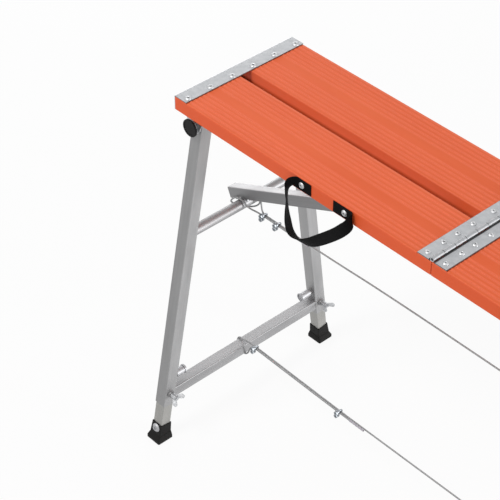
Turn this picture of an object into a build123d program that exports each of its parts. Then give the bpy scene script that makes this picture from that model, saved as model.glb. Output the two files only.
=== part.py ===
from build123d import *
import math
import os

# Folding work platform on two telescopic leg frames.
# Millimetres. X runs along the deck, Y to the rear, Z up, and the origin is on
# the floor under the middle of the hinge. The left half is drawn and mirrored.

# Deck
deck_height = 820.0
deck_width = 300.0
half_length = 655.0
plank_gap = 27.0
plank_depth = 28.0
plank_skin = 2.2
plank_corner = 1.6
plank_lip = 14.0
plank_toe = 5.0
web_thickness = 2.0
web_foot = 12.0
seam = 1.5
rib_height = 0.8
rib_width = 3.4
rib_pitch = 10.6
rib_first = 14.5
ribs_each_side = 5

# End plate
plate_width = 33.0
plate_thickness = 1.5
plate_bend = 2.0
plate_rivet_inset = 24.5
plate_rivet_spread = 55.5

# Centre hinge
leaf_width = 33.0
leaf_thickness = 2.0
barrel_radius = 4.5
hinge_pin_radius = 2.5
hinge_fit = 0.05
knuckle_count = 11
knuckle_gap = 1.0
knuckle_relief = 0.5
leaf_rivet_inset = 20.0
leaf_rivet_inner = 17.0
leaf_rivet_outer = 56.0

# Rivets
rivet_radius = 5.0
rivet_crown = 3.2
rivet_height = 2.2
strap_rivet_radius = 6.5
strap_rivet_crown = 4.2

# Leg frame
pivot_inset = 41.5
pivot_drop = 51.0
lean_run = 22.1
leg_spread_top = 117.3
leg_spread_floor = 235.7
leg_size = 28.0
leg_wall = 1.4
leg_corner = 2.0
leg_end_height = 94.0
tube_height = 514.6
tube_radius = 11.0
tube_wall = 1.5
bar_height = 118.8
bar_size = 25.0
bar_wall = 1.5
bar_corner = 2.0

# Leg pivots
pivot_bolt_radius = 5.0
pivot_fit = 0.05
ear_thickness = 3.0
ear_radius = 16.0
ear_clearance = 1.6
bracket_length = 56.0
pivot_nut_radius = 9.0
pivot_nut_height = 7.0
pivot_head_radius = 10.0
pivot_head_height = 8.4
cap_radius = 18.4
cap_depth = 3.8
cap_gap = 0.6
cap_cover = 1.6
cap_round = 1.2
cap_dish = 0.7
cap_rim = 2.4

# Inner legs and feet
inner_size = 25.0
inner_wall = 1.6
inner_corner = 1.5
inner_overlap = 290.0
inner_foot_gap = 8.0
hole_count = 5
hole_pitch = 50.0
hole_fit = 0.3
foot_top_height = 42.0
foot_sleeve_top = 28.6
foot_sleeve_bottom = 32.0
foot_size = 39.0
foot_sole = 6.0
foot_skirt = 10.0
foot_corner = 3.0
foot_fit = 0.05
foot_screw_height = 30.5
foot_screw_radius = 10.0
foot_screw_crown = 7.0
foot_screw_depth = 3.0
screw_slot_length = 9.0
screw_slot_width = 2.4
screw_slot_depth = 1.5

# Pull pins
pin_height = 156.5
pin_radius = 4.0
pin_fit = 0.05
pin_travel = 5.0
pin_rest = 0.5
pin_barrel_radius = 6.5
pin_barrel_length = 16.0
knob_radius = 8.4
knob_bore_fit = 0.4
knob_standout = 31.0
knob_flange_radius = 9.8
knob_flange = 4.0
knob_end_gap = 1.5
knob_dish = 2.0
knob_rim = 2.5

# Wing bolts
wing_height = 125.0
wing_shaft_radius = 4.0
wing_fit = 0.08
wing_tip_gap = 0.3
wing_boss_radius = 8.0
wing_boss_height = 5.0
wing_hub_radius = 6.0
wing_hub_gap = 0.6
wing_reach = 15.5
wing_root = 14.0
wing_out = 31.0
wing_thickness = 3.2
wing_turn_front = 31.0
wing_turn_rear = 4.0

# Strut
strut_height = 25.0
strut_width = 22.0
strut_wall = 1.8
strut_corner = 2.0
strut_pivot_out = 88.4
strut_deck_gap = 0.5
strut_overhang = 34.5
strut_bolt_radius = 4.0
strut_fit = 0.05
cheek_thickness = 2.5
cheek_gap = 0.5
cheek_radius = 13.0
cheek_length = 44.0
flange_width = 26.0
strut_nut_radius = 7.0
strut_nut_height = 5.0
saddle_thickness = 1.5
saddle_fit = 0.3
saddle_length = 38.0
saddle_width = 20.0
saddle_wrap = 48.0
saddle_nest = 4.0
saddle_seat_fit = 0.05

# Carry strap
strap_width = 24.0
strap_thickness = 1.8
strap_tail_a = 287.0
strap_turn_a = 346.0
strap_rivet_a = 310.0
strap_tail_b = 231.0
strap_turn_b = 186.0
strap_rivet_b = 203.0
strap_drop = 113.0
strap_bend = 24.0

# Wire stays
wire_radius = 1.75
wire_gap = 0.3
strand_pitch = 4.4
upper_line = -3.8
upper_rise = 6.5
upper_rise_span = (231.0, 391.0)
eye_lead = 14.0
eye_rise = 9.3
upper_clips = (55.8, 95.8)
upper_dead_end = 182.8
upper_sleeve = 48.0
corner_bend = 5.0
lower_lead = 13.0
lower_lift = 6.5
lower_parting = 8.0
lower_clips = (43.2, 296.2)
lower_dead_end = 367.2
lower_sleeve = 40.0
sleeve_radius = 2.5
sleeve_bore_fit = 0.05
clip_rod = 3.6
clip_fit = 0.3
clip_body_length = 9.8
clip_body_width = 17.6
clip_body_height = 5.4
clip_nut_radius = 4.3
clip_nut_height = 3.6
clip_rod_end = 1.6

# Worked out from the sizes above
deck_bottom = deck_height - plank_depth
pivot_out = half_length - pivot_inset
pivot_height = deck_height - pivot_drop
plank_width = (deck_width - plank_gap) / 2
plank_offset = (deck_width + plank_gap) / 4
plank_length = half_length - plate_thickness - seam / 2
tread = deck_height + rib_height
hinge_height = tread + barrel_radius
knuckle_pitch = deck_width / knuckle_count

lean = math.atan2(lean_run, pivot_height)
frame_drop = math.hypot(lean_run, pivot_height)
splay = math.atan2(leg_spread_floor - leg_spread_top, frame_drop)
leg_bore = leg_size - 2 * leg_wall
leg_half = leg_size / 2 / math.cos(splay)

frame = Plane(
    origin=(-pivot_out, 0, pivot_height),
    x_dir=(0, 1, 0),
    z_dir=(math.cos(lean), 0, -math.sin(lean)),
)
inboard = frame.z_dir


def frame_point(height):
    """Point in the middle of the leg frame at a height above the floor."""
    return frame.origin - frame.y_dir * ((pivot_height - height) / math.cos(lean))


def along_leg(height):
    """Distance down a leg from its pivot to a height above the floor."""
    return (pivot_height - height) / math.cos(lean) / math.cos(splay)


def down_leg(side):
    return frame.x_dir * (side * math.sin(splay)) - frame.y_dir * math.cos(splay)


def leg_point(side, distance):
    """Point on the centre line of the front (-1) or rear (1) leg."""
    top = frame.origin + frame.x_dir * (side * leg_spread_top)
    return top + down_leg(side) * distance


def across_leg(side, distance):
    """Plane square to a leg that looks up along it."""
    return Plane(origin=leg_point(side, distance), x_dir=inboard, z_dir=down_leg(side) * -1)


def toward_middle(side):
    return frame.x_dir * (-side * math.cos(splay)) - frame.y_dir * math.sin(splay)


def inner_face(side):
    """Face of a leg that looks at the other leg of the frame."""
    return Plane(
        origin=leg_point(side, 0) + toward_middle(side) * (leg_size / 2),
        x_dir=inboard,
        z_dir=toward_middle(side),
    )


def pin_axis(side):
    """Level axis of a pull pin, from the leg's centre line inward."""
    return Plane(
        origin=leg_point(side, along_leg(pin_height)),
        x_dir=inboard,
        z_dir=(0, -side, 0),
    )


def wing_axis(side):
    """Axis of a wing bolt, from the leg's centre line inboard."""
    return Plane(
        origin=leg_point(side, along_leg(wing_height)),
        x_dir=(0, 1, 0),
        z_dir=inboard,
    )


def level_axis(x, y, z, facing):
    """Plane across a level axis that runs front to rear."""
    return Plane(origin=(x, y, z), x_dir=(1, 0, 0), z_dir=(0, facing, 0))


def save(part, name):
    part.label = name
    export_step(part, f"parts/{name}.step")


def save_both(part, name):
    """Write a piece of the left half and its mirror image on the right half."""
    save(part, f"left_{name}")
    with BuildPart() as twin:
        mirror(part, about=Plane.YZ)
    save(twin.part, f"right_{name}")


def plank(side):
    """Ribbed plank, open underneath, with a toe along the gap."""
    end = Plane(
        origin=(-half_length + plate_thickness, side * plank_offset, deck_height),
        x_dir=(0, 1, 0),
        z_dir=(1, 0, 0),
    )
    hollow = plank_width - 2 * plank_skin
    rib_rows = [s * (rib_first + rib_pitch * i) for s in (-1, 1) for i in range(ribs_each_side)]
    with BuildPart() as piece:
        with BuildSketch(end) as profile:
            Rectangle(plank_width, plank_depth, align=(Align.CENTER, Align.MAX))
            fillet(profile.vertices().group_by(Axis.Y)[-1], plank_corner)
            with Locations((0, -plank_skin)):
                Rectangle(
                    hollow,
                    plank_depth - 2 * plank_skin,
                    align=(Align.CENTER, Align.MAX),
                    mode=Mode.SUBTRACT,
                )
            with Locations((0, -plank_depth)):
                Rectangle(
                    hollow - 2 * plank_lip,
                    2 * plank_skin,
                    align=(Align.CENTER, Align.MIN),
                    mode=Mode.SUBTRACT,
                )
            with Locations((-side * plank_width / 2, -plank_depth)):
                Rectangle(2 * plank_toe, plank_skin, align=(Align.CENTER, Align.MIN))
            with Locations((-plank_width / 6, -plank_depth), (plank_width / 6, -plank_depth)):
                Rectangle(web_thickness, plank_depth - plank_skin / 2, align=(Align.CENTER, Align.MIN))
                Rectangle(web_foot, plank_skin, align=(Align.CENTER, Align.MIN))
            with Locations([(row, 0) for row in rib_rows]):
                Trapezoid(rib_width, rib_height, 60, align=(Align.CENTER, Align.MIN))
        extrude(amount=plank_length)
    return piece.part


def hinge_leaf(side, first):
    """Leaf on one half of the deck, with every second knuckle."""
    root = barrel_radius + knuckle_relief
    starts = [
        level_axis(0, -deck_width / 2 + knuckle_pitch * i + knuckle_gap / 2, tread, 1)
        for i in range(first, knuckle_count, 2)
    ]
    with BuildPart() as piece:
        with BuildSketch(Plane.XZ):
            with Locations((side * (leaf_width + root) / 2, tread)):
                Rectangle(leaf_width - root, leaf_thickness, align=(Align.CENTER, Align.MIN))
        extrude(amount=deck_width / 2, both=True)
        with BuildSketch(*starts):
            with Locations((side * root, 0)):
                Rectangle(2 * root, leaf_thickness, align=(Align.CENTER, Align.MAX))
            with Locations((0, -barrel_radius)):
                Circle(barrel_radius)
            with Locations((0, -barrel_radius)):
                Circle(hinge_pin_radius + hinge_fit, mode=Mode.SUBTRACT)
        extrude(amount=knuckle_pitch - knuckle_gap)
    return piece.part


def outer_leg(side):
    """Square outer tube with a rounded top, a pin barrel and a clamp boss."""
    length = along_leg(leg_end_height)
    with BuildPart() as piece:
        with BuildSketch(across_leg(side, length)):
            RectangleRounded(leg_size, leg_size, leg_corner)
        extrude(amount=length + leg_size / 2)
        with BuildSketch(
            Plane(
                origin=leg_point(side, 0),
                x_dir=inboard,
                z_dir=down_leg(side).cross(inboard),
            )
        ):
            Circle(leg_size / 2)
            Rectangle(leg_size, length, align=(Align.CENTER, Align.MAX))
        extrude(amount=leg_size, both=True, mode=Mode.INTERSECT)
        with BuildSketch(pin_axis(side)):
            Circle(pin_barrel_radius)
        extrude(amount=leg_half + pin_barrel_length)
        with BuildSketch(wing_axis(side)):
            Circle(wing_boss_radius)
        extrude(amount=leg_size / 2 + wing_boss_height)
        with BuildSketch(across_leg(side, length)):
            RectangleRounded(leg_bore, leg_bore, leg_corner - leg_wall)
        extrude(amount=length + leg_size, mode=Mode.SUBTRACT)
        with BuildSketch(pin_axis(side)):
            Circle(pin_radius + pin_fit)
        extrude(amount=leg_half + pin_barrel_length, mode=Mode.SUBTRACT)
        with BuildSketch(wing_axis(side)):
            Circle(wing_shaft_radius + wing_fit)
        extrude(amount=leg_size / 2 + wing_boss_height, mode=Mode.SUBTRACT)
        with BuildSketch(level_axis(-pivot_out, side * leg_spread_top, pivot_height, 1)):
            Circle(pivot_bolt_radius + pivot_fit)
        extrude(amount=leg_size, both=True, mode=Mode.SUBTRACT)
    return piece.part


def inner_leg(side):
    """Telescopic inner tube with a row of holes for the pull pin."""
    bottom = along_leg(inner_foot_gap)
    top = along_leg(leg_end_height) - inner_overlap
    with BuildPart() as piece:
        with BuildSketch(across_leg(side, bottom)):
            RectangleRounded(inner_size, inner_size, inner_corner)
            Rectangle(inner_size - 2 * inner_wall, inner_size - 2 * inner_wall, mode=Mode.SUBTRACT)
        extrude(amount=bottom - top)
        for row in range(hole_count):
            axis = pin_axis(side)
            axis.origin = axis.origin - down_leg(side) * (hole_pitch * row)
            with BuildSketch(axis):
                Circle(pin_radius + hole_fit)
            extrude(amount=inner_size, mode=Mode.SUBTRACT)
    return piece.part


def foot(side):
    """Moulded boot with a sleeve up the leg and a skirt out to a level sole."""
    ground = leg_point(side, along_leg(0))
    neck = leg_point(side, along_leg(foot_sole + foot_skirt))
    with BuildPart() as piece:
        with BuildSketch(Plane(origin=(ground.X, ground.Y, 0))):
            RectangleRounded(foot_size, foot_size, foot_corner)
        extrude(amount=foot_sole)
        with BuildSketch(Plane(origin=(ground.X, ground.Y, foot_sole))):
            RectangleRounded(foot_size, foot_size, foot_corner)
        with BuildSketch(Plane(origin=(neck.X, neck.Y, foot_sole + foot_skirt))):
            RectangleRounded(foot_sleeve_bottom, foot_sleeve_bottom, inner_corner)
        loft()
        with BuildSketch(across_leg(side, along_leg(foot_sole))):
            RectangleRounded(foot_sleeve_bottom, foot_sleeve_bottom, inner_corner)
        with BuildSketch(across_leg(side, along_leg(foot_top_height))):
            RectangleRounded(foot_sleeve_top, foot_sleeve_top, inner_corner)
        loft()
        with BuildSketch(across_leg(side, along_leg(inner_foot_gap))):
            Rectangle(inner_size + 2 * foot_fit, inner_size + 2 * foot_fit)
        extrude(amount=2 * foot_top_height, mode=Mode.SUBTRACT)
    return piece.part


def foot_screw(side):
    """Wide screw head with a cross recess on the outer face of the boot."""
    low = along_leg(foot_sole)
    high = along_leg(foot_top_height)
    here = along_leg(foot_screw_height)
    taper = (foot_sleeve_bottom - foot_sleeve_top) / 2 / (low - high)
    half = foot_sleeve_top / 2 + taper * (here - high)
    slope = math.atan(taper)
    out = toward_middle(side) * -math.cos(slope) - down_leg(side) * math.sin(slope)
    seat = Plane(
        origin=leg_point(side, here) - toward_middle(side) * half,
        x_dir=inboard,
        z_dir=out,
    )
    with BuildPart(seat) as piece:
        Cone(
            foot_screw_radius,
            foot_screw_crown,
            foot_screw_depth,
            align=(Align.CENTER, Align.CENTER, Align.MIN),
        )
        with Locations((0, 0, foot_screw_depth)):
            for turn in (0, 90):
                Box(
                    screw_slot_length,
                    screw_slot_width,
                    2 * screw_slot_depth,
                    rotation=(0, 0, turn),
                    mode=Mode.SUBTRACT,
                )
    return piece.part


def pull_pin(side):
    """Plunger and knob, drawn back so that the tip clears the inner leg."""
    axis = pin_axis(side)
    slant = math.tan(splay)
    tip = inner_size / 2 / math.cos(splay) + pin_radius * slant + pin_rest
    mouth = leg_half + knob_flange_radius * slant + pin_travel + pin_rest
    end = leg_half + knob_standout
    floor = leg_half + pin_barrel_length + pin_travel + knob_end_gap
    with BuildPart() as piece:
        with BuildSketch(axis.offset(mouth)):
            Circle(knob_radius)
        extrude(amount=end - mouth)
        with BuildSketch(axis.offset(end)):
            Circle(knob_flange_radius)
        extrude(amount=-knob_flange)
        with BuildSketch(axis.offset(end)):
            Circle(knob_flange_radius - knob_rim)
        extrude(amount=-knob_dish, mode=Mode.SUBTRACT)
        with BuildSketch(axis.offset(mouth)):
            Circle(pin_barrel_radius + knob_bore_fit)
        extrude(amount=floor - mouth, mode=Mode.SUBTRACT)
        with BuildSketch(axis.offset(tip)):
            Circle(pin_radius)
        extrude(amount=floor - tip + knob_rim)
    return piece.part


def wing_bolt(side, turn):
    """Clamp bolt with two wings, its tip just short of the inner leg."""
    axis = wing_axis(side)
    angle = math.radians(turn)
    spoke = axis.x_dir * math.cos(angle) + axis.y_dir * math.sin(angle)
    blade = Plane(origin=axis.origin, x_dir=spoke, z_dir=spoke.cross(inboard))
    face = leg_size / 2
    tip = inner_size / 2 + wing_tip_gap
    hub = face + wing_boss_height + wing_hub_gap
    root = face + wing_root
    end = face + wing_out
    outline = [
        (0, root),
        (wing_hub_radius, root),
        (wing_reach, end - 8),
        (wing_reach, end - 2),
        (wing_reach - 2, end),
        (wing_reach - 6, end),
        (wing_shaft_radius, root + 9),
        (0, root + 9),
    ]
    with BuildPart() as piece:
        with BuildSketch(axis.offset(tip)):
            Circle(wing_shaft_radius)
        extrude(amount=hub - tip)
        with BuildSketch(axis.offset(hub)):
            Circle(wing_hub_radius)
        extrude(amount=root + 6 - hub)
        with BuildSketch(blade):
            with BuildLine():
                Polyline(*outline, close=True)
            make_face()
            mirror(about=Plane.YZ)
        extrude(amount=wing_thickness / 2, both=True)
    return piece.part


os.makedirs("parts", exist_ok=True)

# Planks
for side, place in ((-1, "front"), (1, "rear")):
    save_both(plank(side), f"{place}_plank")

# End plate over the outer ends of the planks
with BuildPart() as end_plate:
    with BuildSketch(Plane.XZ):
        with Locations((-half_length, tread)):
            Rectangle(plate_width, plate_thickness, align=(Align.MIN, Align.MIN))
        with Locations((-half_length, tread + plate_thickness)):
            Rectangle(
                plate_thickness,
                plate_thickness + rib_height + plank_depth,
                align=(Align.MIN, Align.MAX),
            )
    extrude(amount=deck_width / 2, both=True)
    fillet(end_plate.edges().filter_by(Axis.Y).group_by(Axis.X)[0].group_by(Axis.Z)[-1], plate_bend)
save_both(end_plate.part, "end_plate")

# Centre hinge
save(hinge_leaf(-1, 0), "left_hinge_leaf")
save(hinge_leaf(1, 1), "right_hinge_leaf")
with BuildPart() as hinge_pin:
    with BuildSketch(level_axis(0, 0, hinge_height, 1)):
        Circle(hinge_pin_radius)
    extrude(amount=deck_width / 2 - knuckle_gap / 2, both=True)
save(hinge_pin.part, "hinge_pin")

# Rivet heads on the end plate, on the hinge leaf and on the strap
strap_level = deck_bottom + plank_depth / 2
plate_rivets = [
    (-half_length + plate_rivet_inset, s * plank_offset + k * plate_rivet_spread, tread + plate_thickness)
    for s in (-1, 1)
    for k in (-1, 0, 1)
]
leaf_rivets = [
    (-leaf_rivet_inset, s * plank_offset + k, tread + leaf_thickness)
    for s in (-1, 1)
    for k in (-leaf_rivet_outer, -leaf_rivet_inner, leaf_rivet_inner, leaf_rivet_outer)
]
strap_seats = [
    level_axis(-x, -deck_width / 2 - strap_thickness, strap_level, -1)
    for x in (strap_rivet_a, strap_rivet_b)
]
with BuildPart() as deck_rivets:
    with Locations(plate_rivets + leaf_rivets):
        Cone(
            rivet_radius,
            rivet_crown,
            rivet_height,
            align=(Align.CENTER, Align.CENTER, Align.MIN),
        )
    with Locations(*strap_seats):
        Cone(
            strap_rivet_radius,
            strap_rivet_crown,
            rivet_height,
            align=(Align.CENTER, Align.CENTER, Align.MIN),
        )
save_both(deck_rivets.part, "deck_rivets")

# Brackets under the planks for the leg pivots
ear_swing = ear_radius * math.tan(splay) + ear_clearance
ear_inner = leg_spread_top - leg_half - ear_swing - ear_thickness
ear_outer = leg_spread_top + leg_half + ear_swing + ear_thickness
ear_drop = deck_bottom - pivot_height
with BuildPart() as pivot_brackets:
    for side in (-1, 1):
        with Locations((-pivot_out, side * (ear_inner + ear_outer) / 2, deck_bottom)):
            Box(
                bracket_length,
                ear_outer - ear_inner,
                ear_thickness,
                align=(Align.CENTER, Align.CENTER, Align.MAX),
            )
        ears = [
            level_axis(-pivot_out, side * ear_inner, pivot_height, side),
            level_axis(-pivot_out, side * (ear_outer - ear_thickness), pivot_height, side),
        ]
        with BuildSketch(*ears):
            Circle(ear_radius)
            Polygon(
                (-bracket_length / 2, -side * ear_drop),
                (bracket_length / 2, -side * ear_drop),
                (ear_radius, 0),
                (-ear_radius, 0),
                align=None,
            )
            Circle(pivot_bolt_radius + pivot_fit, mode=Mode.SUBTRACT)
        extrude(amount=ear_thickness)
save_both(pivot_brackets.part, "pivot_brackets")

# Pivot bolts with their heads and nuts, and the caps on the heads
head_inner = ear_outer + cap_gap
cap_inner = head_inner + pivot_head_height
cap_outer = cap_inner + cap_depth
bolt_end = cap_outer - cap_cover
nut_seat = ear_inner - cap_gap
with BuildPart() as pivot_bolts:
    for side in (-1, 1):
        with BuildSketch(level_axis(-pivot_out, side * nut_seat, pivot_height, side)):
            Circle(pivot_bolt_radius)
        extrude(amount=bolt_end - nut_seat)
        with BuildSketch(level_axis(-pivot_out, side * nut_seat, pivot_height, -side)):
            RegularPolygon(pivot_nut_radius, 6)
        extrude(amount=pivot_nut_height)
        with BuildSketch(level_axis(-pivot_out, side * head_inner, pivot_height, side)):
            RegularPolygon(pivot_head_radius, 6)
        extrude(amount=pivot_head_height)
save_both(pivot_bolts.part, "pivot_bolts")

with BuildPart() as pivot_caps:
    for side in (-1, 1):
        with BuildSketch(level_axis(-pivot_out, side * cap_inner, pivot_height, side)):
            Circle(cap_radius)
        extrude(amount=cap_depth)
    rims = pivot_caps.faces().filter_by(Axis.Y).sort_by(Axis.Y)
    fillet([rims[0].edge(), rims[-1].edge()], cap_round)
    for side in (-1, 1):
        with BuildSketch(level_axis(-pivot_out, side * cap_outer, pivot_height, -side)):
            Circle(cap_radius - cap_round - cap_rim)
        extrude(amount=cap_dish, mode=Mode.SUBTRACT)
        with BuildSketch(level_axis(-pivot_out, side * cap_inner, pivot_height, side)):
            Circle(pivot_bolt_radius + pivot_fit)
        extrude(amount=bolt_end - cap_inner, mode=Mode.SUBTRACT)
save_both(pivot_caps.part, "pivot_caps")

# Leg tubes, feet, pull pins and wing bolts
for side, place in ((-1, "front"), (1, "rear")):
    save_both(outer_leg(side), f"{place}_outer_leg")
    save_both(inner_leg(side), f"{place}_inner_leg")
    save_both(foot(side), f"{place}_foot")
    save_both(foot_screw(side), f"{place}_foot_screw")
    save_both(pull_pin(side), f"{place}_pull_pin")
    wing_turn = wing_turn_front if side < 0 else wing_turn_rear
    save_both(wing_bolt(side, wing_turn), f"{place}_wing_bolt")

# Round crosstube and square crossbar between the legs
with BuildPart() as round_crosstube:
    with BuildSketch(Plane(origin=frame_point(tube_height), x_dir=inboard, z_dir=(0, 1, 0))):
        Circle(tube_radius)
        Circle(tube_radius - tube_wall, mode=Mode.SUBTRACT)
    extrude(amount=leg_spread_floor, both=True)
    for side in (-1, 1):
        split(bisect_by=inner_face(side), keep=Keep.TOP)
save_both(round_crosstube.part, "round_crosstube")

with BuildPart() as crossbar:
    with BuildSketch(Plane(origin=frame_point(bar_height), x_dir=inboard, z_dir=(0, 1, 0))):
        RectangleRounded(bar_size, bar_size, bar_corner)
        Rectangle(bar_size - 2 * bar_wall, bar_size - 2 * bar_wall, mode=Mode.SUBTRACT)
    extrude(amount=leg_spread_floor, both=True)
    for side in (-1, 1):
        split(bisect_by=inner_face(side), keep=Keep.TOP)
save_both(crossbar.part, "crossbar")

# Strut, from its pivot under the deck out over the round crosstube, notched to sit on it
strut_pivot = Vector(-strut_pivot_out, 0, deck_bottom - strut_deck_gap - strut_height / 2)
tube_centre = frame_point(tube_height)
to_tube = tube_centre - strut_pivot
saddle_inner = tube_radius + saddle_fit
saddle_outer = saddle_inner + saddle_thickness
seat_drop = saddle_outer + strut_height / 2 - saddle_nest
tube_distance = math.hypot(to_tube.X, to_tube.Z)
strut_slope = math.atan2(-to_tube.Z, -to_tube.X) - math.asin(seat_drop / tube_distance)
seat_along = math.sqrt(tube_distance**2 - seat_drop**2)
strut_length = seat_along + strut_overhang
strut_frame = Plane(
    origin=strut_pivot,
    x_dir=(-math.cos(strut_slope), 0, -math.sin(strut_slope)),
    z_dir=(0, 1, 0),
)
strut_across = Plane(
    origin=strut_pivot + strut_frame.x_dir * strut_length,
    x_dir=(0, 1, 0),
    z_dir=strut_frame.x_dir * -1,
)
with BuildPart() as strut:
    with BuildSketch(strut_across):
        RectangleRounded(strut_width, strut_height, strut_corner)
    extrude(amount=strut_length + strut_height / 2)
    with BuildSketch(strut_frame):
        Circle(strut_height / 2)
        Rectangle(strut_length, strut_height, align=(Align.MIN, Align.CENTER))
    extrude(amount=strut_width, both=True, mode=Mode.INTERSECT)
    with BuildSketch(strut_across):
        Rectangle(strut_width - 2 * strut_wall, strut_height - 2 * strut_wall)
    extrude(amount=strut_length + strut_height, mode=Mode.SUBTRACT)
    with BuildSketch(strut_frame):
        Circle(strut_bolt_radius + strut_fit)
        with Locations((seat_along, -seat_drop)):
            Circle(saddle_outer + saddle_seat_fit)
    extrude(amount=strut_width, both=True, mode=Mode.SUBTRACT)
save_both(strut.part, "strut")

# Saddle in the notch under the strut, over the round crosstube
with BuildPart() as strut_saddle:
    with BuildSketch(strut_frame):
        with Locations((seat_along, -seat_drop)):
            Circle(saddle_outer)
        with Locations((seat_along, -seat_drop + saddle_inner * math.cos(math.radians(saddle_wrap)))):
            Rectangle(
                3 * saddle_outer,
                3 * saddle_outer,
                align=(Align.CENTER, Align.MAX),
                mode=Mode.SUBTRACT,
            )
        with Locations((seat_along, -strut_height / 2)):
            Rectangle(saddle_length, saddle_thickness, align=(Align.CENTER, Align.MAX))
        with Locations((seat_along, -seat_drop)):
            Circle(saddle_inner, mode=Mode.SUBTRACT)
    extrude(amount=saddle_width / 2, both=True)
save_both(strut_saddle.part, "strut_saddle")

# Bracket under the planks for the strut, and its bolt
cheek_inner = strut_width / 2 + cheek_gap
cheek_outer = cheek_inner + cheek_thickness
cheek_drop = deck_bottom - strut_pivot.Z
with BuildPart() as strut_bracket:
    for side in (-1, 1):
        with Locations((strut_pivot.X, side * cheek_inner, deck_bottom)):
            Box(
                cheek_length,
                flange_width,
                cheek_thickness,
                align=(Align.CENTER, Align.MIN if side > 0 else Align.MAX, Align.MAX),
            )
        with BuildSketch(level_axis(strut_pivot.X, side * cheek_inner, strut_pivot.Z, side)):
            Circle(cheek_radius)
            Polygon(
                (-cheek_length / 2, -side * cheek_drop),
                (cheek_length / 2, -side * cheek_drop),
                (cheek_radius, 0),
                (-cheek_radius, 0),
                align=None,
            )
            Circle(strut_bolt_radius + strut_fit, mode=Mode.SUBTRACT)
        extrude(amount=cheek_thickness)
save_both(strut_bracket.part, "strut_bracket")

with BuildPart() as strut_pivot_bolt:
    with BuildSketch(level_axis(strut_pivot.X, 0, strut_pivot.Z, 1)):
        Circle(strut_bolt_radius)
    extrude(amount=cheek_outer, both=True)
    for side in (-1, 1):
        with BuildSketch(level_axis(strut_pivot.X, side * cheek_outer, strut_pivot.Z, side)):
            RegularPolygon(strut_nut_radius, 6)
        extrude(amount=strut_nut_height)
save_both(strut_pivot_bolt.part, "strut_pivot_bolt")

# Carry strap: two flat tails on the front plank and a loop that hangs between
strap_face = -deck_width / 2
strap_path = [
    (-strap_turn_a, strap_level),
    (-strap_turn_a - 8, strap_level - 0.55 * strap_drop),
    (-strap_turn_a + 22, strap_level - strap_drop),
    (-strap_tail_a + 14, strap_level - strap_drop),
    (-strap_turn_b + 8, strap_level - 0.2 * strap_drop),
    (-strap_turn_b, strap_level),
]
with BuildPart() as carry_strap:
    for tail, turn in ((strap_tail_a, strap_turn_a), (strap_tail_b, strap_turn_b)):
        with Locations((-(tail + turn) / 2, strap_face, strap_level)):
            Box(
                abs(tail - turn) + strap_thickness,
                strap_thickness,
                strap_width,
                align=(Align.CENTER, Align.MAX, Align.CENTER),
            )
    with BuildSketch(level_axis(0, strap_face, 0, -1)):
        with BuildLine():
            FilletPolyline(*strap_path, radius=strap_bend)
        trace(line_width=strap_thickness)
    extrude(amount=strap_width)
save_both(carry_strap.part, "carry_strap")


def stay(points, radii, name):
    """Wire along the left half of a route and its mirror image."""
    route = points + [(-x, y, z) for x, y, z in reversed(points)]
    bends = radii + list(reversed(radii))
    with BuildPart() as wire:
        with BuildLine() as path:
            FilletPolyline(*route, radius=bends)
        with BuildSketch(Plane(origin=path.line @ 0, z_dir=path.line % 0)):
            Circle(wire_radius)
        sweep(path=path.line)
    save(wire.part, name)
    length = path.wire().length
    section = math.pi * wire_radius**2
    print(name, "length", round(length, 1), "volume", round(wire.part.volume, 1))
    print(name, "volume over section times length", round(wire.part.volume / section / length, 4))
    print(name, "bend radii", radii)


# Upper stay, with a loose eye round each round crosstube
tx, tz = tube_centre.X, tube_centre.Z
upper_level = tz + upper_line
stay(
    [
        (tx + upper_dead_end, -strand_pitch, upper_level),
        (tx + upper_clips[0] - eye_lead, -strand_pitch, upper_level),
        (tx + 20, -15.5, tz + 3.5),
        (tx + 9.5, -17, tz + 14.5),
        (tx - 14, -17, tz + 13),
        (tx - 33, -17, tz - 10),
        (tx - 24, -4, tz - 20),
        (tx + 4, 12, tz - 19),
        (tx + 22, 16, tz - 4),
        (tx + 27, 12, tz + 18),
        (tx + 40, 2, tz + 23),
        (tx + upper_clips[0] - eye_rise, 0, upper_level),
        (tx + upper_rise_span[0], 0, upper_level),
        (tx + upper_rise_span[1], 0, upper_level + upper_rise),
    ],
    [18, 10, 9, 12, 9, 12, 12, 12, 8, 7, 8, 300, 300],
    "upper_stay",
)

# Lower stay, with a tight eye round each crossbar
bar_centre = frame_point(bar_height)
bx, bz = bar_centre.X, bar_centre.Z
hug = bar_size / 2 + wire_radius + 2 * wire_gap
lower_level = bz + hug
lower_peak = bx + lower_clips[0] - lower_lead
lower_rest = bx + lower_clips[1]
stay(
    [
        (bx + lower_dead_end, -strand_pitch, lower_level),
        (lower_rest, -strand_pitch, lower_level),
        (lower_peak, -strand_pitch, lower_level + lower_lift),
        (bx + hug + 1, -strand_pitch, bz - hug),
        (bx - hug, -strand_pitch / 2, bz - hug),
        (bx - hug, 0, lower_level),
        (lower_peak, 0, lower_level + lower_lift),
        (lower_rest, 0, lower_level),
    ],
    [200, lower_parting, lower_parting, corner_bend, corner_bend, 60, 200],
    "lower_stay",
)

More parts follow.
